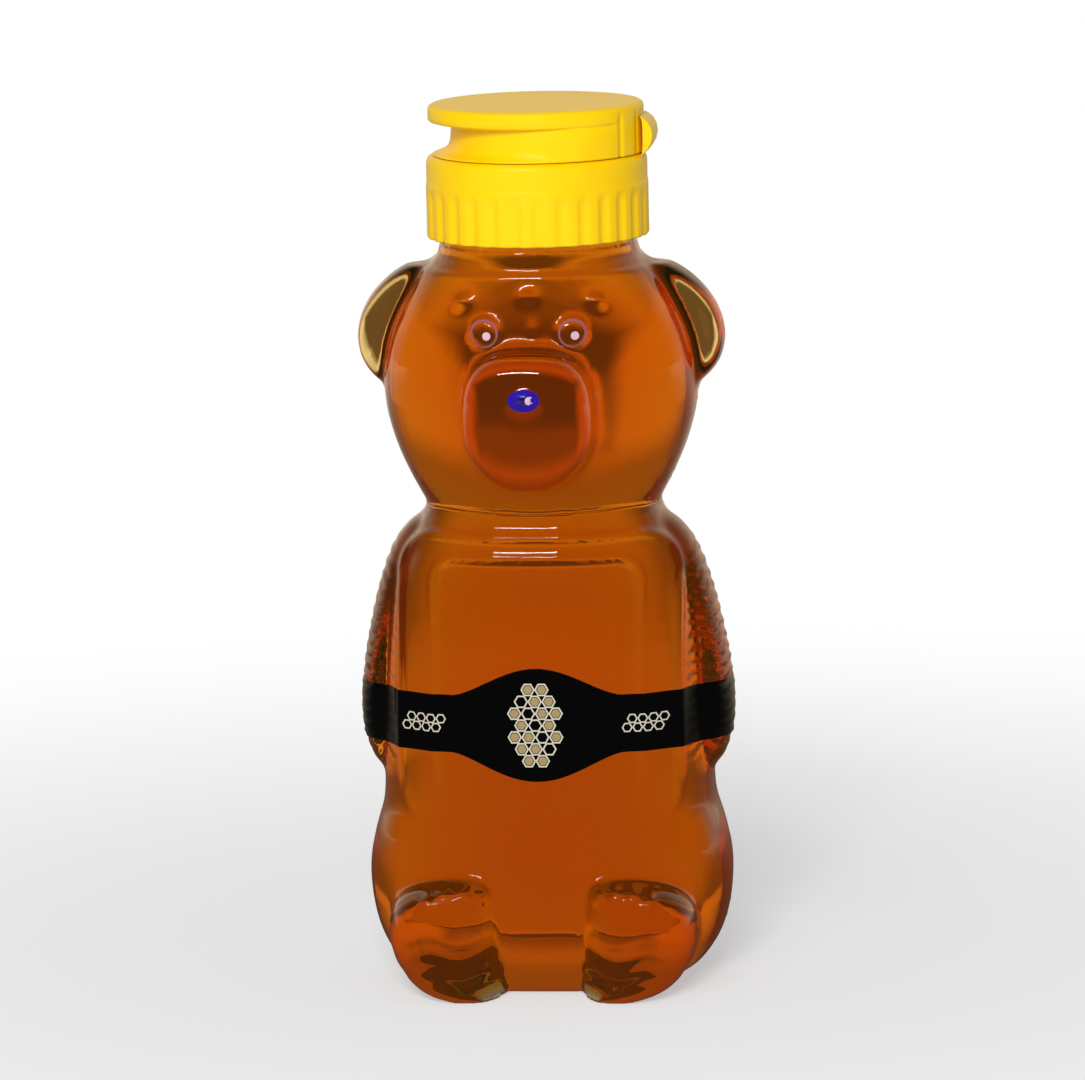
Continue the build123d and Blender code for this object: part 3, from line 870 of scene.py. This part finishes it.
def draw_back(v, depth):
    """Moves a point straight towards the axis."""
    r = hypot(v.co.x, v.co.y)
    v.co.x *= (r - depth) / r
    v.co.y *= (r - depth) / r


def flute_depth(turn, z):
    """How deep the skirt is scalloped in a direction at a height."""
    pitch = 2 * pi / FLUTES
    off = abs((turn + pitch / 2) % pitch - pitch / 2) * CAP_RADIUS
    return FLUTE_DEPTH * max(0.0, 1 - (off / FLUTE_HALF) ** 2) * (1 - smooth_step(*FLUTE_FADE, z))


def build_cap_base(yellow):
    """Screw part of the cap: fluted skirt, smooth band, deck, spout and inner thread."""
    bm = bmesh.new()
    turned(bm, CAP_PROFILE, FLUTES * FLUTE_SEGMENTS, True)
    for v in bm.verts:
        if hypot(v.co.x, v.co.y) > SKIRT_SKIN:
            draw_back(v, flute_depth(atan2(v.co.y, v.co.x), v.co.z))
    add_thread(bm, *CAP_THREAD, THREAD_START - THREAD_PITCH / 2)
    bmesh.ops.recalc_face_normals(bm, faces=bm.faces)
    shade(bm, sharp_degrees=50)
    finish_mesh("cap_screw_part", bm, [yellow], "cap", ["cap_base"])


def recess_reach(turn):
    """How far the lid's wall is set back in a direction: none at the hinge, and most at the thumb recess."""
    back = RECESS_SHIFT * cos(turn) + sqrt(RECESS_BACK ** 2 - (RECESS_SHIFT * sin(turn)) ** 2)
    return max(0.0, LID_RADIUS - back)


def lid_setback(r, turn, z, share):
    """How far a point of the lid is set back, by the thumb recess and by the creases beside the hinge. Its
    wall is brought out flush at the hinge."""
    back = share * recess_reach(turn)
    if r > LID_SKIN and z < LID_WALL_TOP:
        at_hinge = 1 - smooth_step(HINGE_HALF_TURN, HINGE_HALF_TURN + HINGE_EDGE, abs(turn))
        back -= (LID_RADIUS - r) * at_hinge * smooth_step(*HINGE_FADE, z)
        for half_turn, (depth, width) in ((HINGE_HALF_TURN, HINGE_CREASE), (STRAP_HALF_TURN, STRAP_CREASE)):
            back += depth * bump(abs(turn) - half_turn, width)
    return back


def build_lid(yellow):
    """Flip-top lid: flat disc with a rounded edge, thumb recess, hinge pocket and plug."""
    bm = bmesh.new()
    turned(bm, [(r, z) for r, z, _ in LID_OUTLINE], LID_SEGMENTS, False)
    shares = {(round(r, 3), round(z, 3)): share for r, z, share in LID_OUTLINE}
    for v in bm.verts:
        r = hypot(v.co.x, v.co.y)
        share = shares.get((round(r, 3), round(v.co.z, 3)), 0)
        if r > 1:
            draw_back(v, lid_setback(r, atan2(v.co.y, v.co.x), v.co.z, share))
    plug = bmesh.new()
    turned(plug, PLUG_PROFILE, PLUG_SEGMENTS, False)
    join_mesh(bm, plug)
    shade(bm, sharp_degrees=50)
    finish_mesh("flip_lid", bm, [yellow], "lid", ["lid"])


def build_hinge(yellow):
    """Living hinge: a strap that bulges out between the cap's rim and the lid, thickest in its middle."""
    bm = bmesh.new()
    for line in (STRAP_OUTER, STRAP_INNER):
        before = set(bm.verts)
        bmesh.ops.create_grid(bm, x_segments=STRAP_ROWS, y_segments=STRAP_COLUMNS, size=1)
        for v in set(bm.verts) - before:
            x, z = line[round((v.co.x + 1) * STRAP_ROWS / 2)]
            edge = max(0, abs(v.co.y) - STRAP_EDGE) if line == STRAP_OUTER else 0
            v.co = (max(x - STRAP_ROUND * edge ** 2, STRAP_SEAT), STRAP_HALF_WIDTH * v.co.y, z)
    bmesh.ops.remove_doubles(bm, verts=bm.verts, dist=WELD)
    for side in (-STRAP_HALF_WIDTH, STRAP_HALF_WIDTH):
        rim = [e for e in bm.edges if e.is_boundary and all(abs(v.co.y - side) < WELD for v in e.verts)]
        bmesh.ops.edgeloop_fill(bm, edges=rim)
    bmesh.ops.recalc_face_normals(bm, faces=bm.faces)
    shade(bm, sharp_degrees=50)
    piece = finish_mesh("living_hinge", bm, [yellow], None, ["hinge_strap"])
    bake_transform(piece)


# Camera, in metres: a long lens, a little above the bottle and towards the hinge's side
CAMERA_DISTANCE = 1.28
CAMERA_HEIGHT = 0.300
CAMERA_AZIMUTH = radians(6.0)
CAMERA_ROLL = radians(-1.3)
AIM_SIDE = -0.0005
AIM_HEIGHT = 0.0822
SENSOR = 36.0
PHOTO_WIDTH = 1085
PIXELS_PER_MM = 5.38


def make_camera():
    """The camera at the photograph's angle, scaled by the photograph's pixels to a millimetre."""
    camera = bpy.data.objects.new("camera", bpy.data.cameras.new("camera"))
    bpy.context.scene.collection.objects.link(camera)
    right = Vector((cos(CAMERA_AZIMUTH), sin(CAMERA_AZIMUTH), 0))
    away = Vector((sin(CAMERA_AZIMUTH), -cos(CAMERA_AZIMUTH), 0))
    place = CAMERA_DISTANCE * away + Vector((0, 0, CAMERA_HEIGHT))
    aim = AIM_SIDE * right + Vector((0, 0, AIM_HEIGHT))
    look = (aim - place).to_track_quat("-Z", "Y").to_matrix().to_4x4()
    camera.matrix_world = Matrix.Translation(place) @ look @ Matrix.Rotation(CAMERA_ROLL, 4, "Z")
    camera.data.sensor_width = SENSOR
    camera.data.lens = SENSOR * (aim - place).length / (PHOTO_WIDTH / PIXELS_PER_MM * MM)
    bpy.context.scene.camera = camera


# The room, in metres. To the camera it is plain white. Through the bottle it runs from dark to light, as a
# real room does, and in the bottle's gloss it is warm, and brightest behind the bottle; on the floor, which
# glows for these rays, this is painted light. Its three colours are linear. What is across the view allows
# for the camera's turn. A fade gives a level its name: it follows another level between two bounds, and its
# values at them come last. A join makes one level of two.
ROOM_DARK = (0.12, 0.06, 0.03, 1)
ROOM_LIGHT = (1.0, 0.95, 0.88, 1)
ROOM_MIRRORED = (1.0, 0.84, 0.62, 1)
ACROSS_THE_VIEW = (1.0, 0.105, 0.0)
DIFFUSE_LEVEL = 0.25
FLOOR_HALF = 4.0
# Shapes of the floor's painted glow, which is seen through the bottle and in its gloss.
FLOOR_FADES = [
    ("whiter_away", "distance", 0.06, 0.38, 0.45, 1.0),
    ("mirrored", "y", 0.0, 0.7, 0.05, 0.75),
    ("near_in", "distance", 0.22, 0.32, 0.66, 0.95),
    ("near_out", "distance", 0.28, 0.46, 1.0, 0.05),
    ("darker_sides", "share", 0.25, 0.65, 1.0, 0.3),
    ("past_the_bottle", "distance", 0.16, 0.24, 0.0, 1.0),
    ("beside", "aside", 0.09, 0.18, 0.0, 1.0),
    ("slanting", "share", 0.14, 0.34, 0.0, 1.0),
    ("far_off", "distance", 0.85, 1.9, 0.0, 0.3),
]
FLOOR_JOINS = [
    ("seen_white", "MULTIPLY", "seen", "whiter_away"),
    ("bounced", "MAXIMUM", "glossy", "through"),
    ("white", "MAXIMUM", "seen_white", "bounced"),
    ("near", "MULTIPLY", "near_in", "near_out"),
    ("sides", "MAXIMUM", "darker_sides", "past_the_bottle"),
    ("near_lit", "MULTIPLY", "near", "sides"),
    ("beside_lit", "MULTIPLY", "beside", "slanting"),
    ("close_lit", "MAXIMUM", "near_lit", "beside_lit"),
    ("lit", "MAXIMUM", "close_lit", "far_off"),
]
AIR_FADES = [
    ("mirrored", "y", 0.15, 0.9, 0.03, 1.0),
    ("darker_above", "z", 0.0, 0.25, 1.0, 0.42),
    ("darker_sides", "aside", 0.70, 0.97, 1.0, 0.35),
    ("lighter_behind", "y", -0.1, 0.3, 0.4, 1.0),
    ("dark_horizon", "z", 0.0, 0.14, 0.3, 1.0),
    ("beside", "aside", 0.14, 0.34, 0.0, 1.0),
]
AIR_JOINS = [
    ("round_lit", "MULTIPLY", "darker_above", "darker_sides"),
    ("back_lit", "MULTIPLY", "round_lit", "lighter_behind"),
    ("horizon", "MAXIMUM", "dark_horizon", "beside"),
    ("lit", "MULTIPLY", "back_lit", "horizon"),
    ("clear_level", "MAXIMUM", "seen", "through"),
    ("mirror_level", "MULTIPLY", "glossy", "mirrored"),
    ("bright_level", "MAXIMUM", "clear_level", "mirror_level"),
    ("diffuse_level", "MULTIPLY", "diffuse", DIFFUSE_LEVEL),
    ("level", "MAXIMUM", "bright_level", "diffuse_level"),
]


def room_levels(tree, place):
    """What kind of ray arrives, and where: along the axes, and how far to the side of straight behind the
    bottle. A ray that is mirrored just after it went through something isn't a mirror ray."""
    rays = add_node(tree, "ShaderNodeLightPath").outputs
    axes = add_node(tree, "ShaderNodeSeparateXYZ", {"Vector": place}).outputs
    mirror_ray = add_node(tree, "ShaderNodeMath", {0: rays["Is Glossy Ray"], 1: rays["Is Transmission Ray"]},
                          operation="GREATER_THAN")
    across = add_node(tree, "ShaderNodeVectorMath", {0: place, 1: ACROSS_THE_VIEW}, operation="DOT_PRODUCT")
    aside = add_node(tree, "ShaderNodeMath", {0: across.outputs["Value"]}, operation="ABSOLUTE")
    return {"seen": rays["Is Camera Ray"], "glossy": rays["Is Glossy Ray"],
            "through": rays["Is Transmission Ray"], "diffuse": rays["Is Diffuse Ray"],
            "mirror_ray": mirror_ray.outputs[0], "y": axes["Y"], "z": axes["Z"], "aside": aside.outputs[0]}


def shape_room(tree, levels, fades, joins):
    """Adds fades and joins to the levels of the floor or the air, and gives the colour that they make."""
    for name, source, low, high, at_low, at_high in fades:
        fade = add_node(tree, "ShaderNodeMapRange", {"Value": levels[source]}, From_Min=low, From_Max=high,
                        To_Min=at_low, To_Max=at_high, interpolation_type="SMOOTHSTEP")
        levels[name] = fade.outputs[0]
    for name, operation, one, other in joins:
        join = add_node(tree, "ShaderNodeMath", {0: levels[one], 1: levels.get(other, other)},
                        operation=operation)
        levels[name] = join.outputs[0]
    through = add_node(tree, "ShaderNodeMix", {0: levels["lit"], 6: ROOM_DARK, 7: ROOM_LIGHT},
                       data_type="RGBA")
    mirrored = add_node(tree, "ShaderNodeMix",
                        {0: levels["mirror_ray"], 6: rgba("FFFFFF"), 7: ROOM_MIRRORED}, data_type="RGBA")
    colours = {0: levels["through"], 6: mirrored.outputs[2], 7: through.outputs[2]}
    return add_node(tree, "ShaderNodeMix", colours, data_type="RGBA").outputs[2]


def make_stage():
    """A pale floor that fades into white surroundings, and keeps the bottle's shadow. Seen through the
    bottle or in its gloss it is only a glow, darker and lighter by place: painted light that stands in for
    the room and for the light that the honey gathers onto the floor.
    """
    bm = bmesh.new()
    bmesh.ops.create_grid(bm, x_segments=1, y_segments=1, size=FLOOR_HALF)
    mesh = bpy.data.meshes.new("floor")
    bm.to_mesh(mesh)
    bm.free()
    floor = bpy.data.objects.new("floor", mesh)
    bpy.context.scene.collection.objects.link(floor)
    material, tree, out = new_material("pale_floor")
    place = add_node(tree, "ShaderNodeTexCoord").outputs["Object"]
    levels = room_levels(tree, place)
    distance = add_node(tree, "ShaderNodeVectorMath", {0: place}, operation="LENGTH").outputs["Value"]
    share = add_node(tree, "ShaderNodeMath", {0: levels["aside"], 1: distance}, operation="DIVIDE")
    levels.update(distance=distance, share=share.outputs[0])
    colour = shape_room(tree, levels, FLOOR_FADES, FLOOR_JOINS)
    strength = add_node(tree, "ShaderNodeMix", {0: levels["mirror_ray"], 2: 1.0, 3: levels["mirrored"]})
    plain = add_node(tree, "ShaderNodeBsdfDiffuse", Color=rgba("F8F8F7"))
    # The floor's glow: painted light, all that mirrored rays and rays through the bottle see of the floor.
    white = add_node(tree, "ShaderNodeEmission", {"Color": colour, "Strength": strength.outputs[0]})
    shader = add_node(tree, "ShaderNodeMixShader",
                      {0: levels["white"], 1: plain.outputs[0], 2: white.outputs[0]})
    tree.links.new(shader.outputs[0], out.inputs["Surface"])
    mesh.materials.append(material)


def make_surroundings():
    """White surroundings, which give the bottle little diffuse light. In its gloss they are brightest behind
    it, and through it they are darker above, at the sides, in front and low down behind it."""
    world = bpy.data.worlds.new("studio")
    bpy.context.scene.world = world
    world.use_nodes = True
    tree = world.node_tree
    tree.nodes.clear()
    levels = room_levels(tree, add_node(tree, "ShaderNodeTexCoord").outputs["Generated"])
    colour = shape_room(tree, levels, AIR_FADES, AIR_JOINS)
    light = add_node(tree, "ShaderNodeBackground", {"Strength": levels["level"], "Color": colour})
    out = add_node(tree, "ShaderNodeOutputWorld")
    tree.links.new(light.outputs[0], out.inputs["Surface"])


def add_lamp(name, place, width, height, watts, mirrored):
    """A soft rectangular lamp that points at the bottle. It isn't seen through the bottle."""
    data = bpy.data.lights.new(name, "AREA")
    data.shape = "RECTANGLE"
    data.size = width
    data.size_y = height
    data.energy = watts
    lamp = bpy.data.objects.new(name, data)
    bpy.context.scene.collection.objects.link(lamp)
    lamp.location = place
    bottle_middle = Vector((0, 0, 0.09))
    lamp.rotation_euler = (bottle_middle - Vector(place)).to_track_quat("-Z", "Y").to_euler()
    lamp.visible_glossy = mirrored
    lamp.visible_transmission = False


# The object
outer_skin = make_outer()
cut_above(outer_skin, MOUTH)
outer_surface = BVHTree.FromBMesh(outer_skin)
inner_skin = make_inner()
cap_plastic = yellow_polypropylene()
build_bottle(outer_skin, inner_skin.copy())
build_honey(inner_skin)
build_motif(build_label(outer_surface))
build_face_print(outer_surface)
build_cap_base(cap_plastic)
build_lid(cap_plastic)
build_hinge(cap_plastic)
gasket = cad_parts["gasket"]
gasket.data.materials.clear()
gasket.data.materials.append(foam())

# The studio
make_camera()
make_stage()
make_surroundings()
add_lamp("key_strip", place=(-0.35, -1.5, 1.15), width=0.75, height=0.10, watts=6.0, mirrored=True)
add_lamp("front_softbox", place=(-0.02, -1.85, 1.05), width=0.6, height=0.6, watts=29.5, mirrored=False)
bpy.context.scene.view_settings.view_transform = "Standard"
bpy.context.scene.cycles.max_bounces = 24
bpy.context.scene.cycles.transmission_bounces = 24
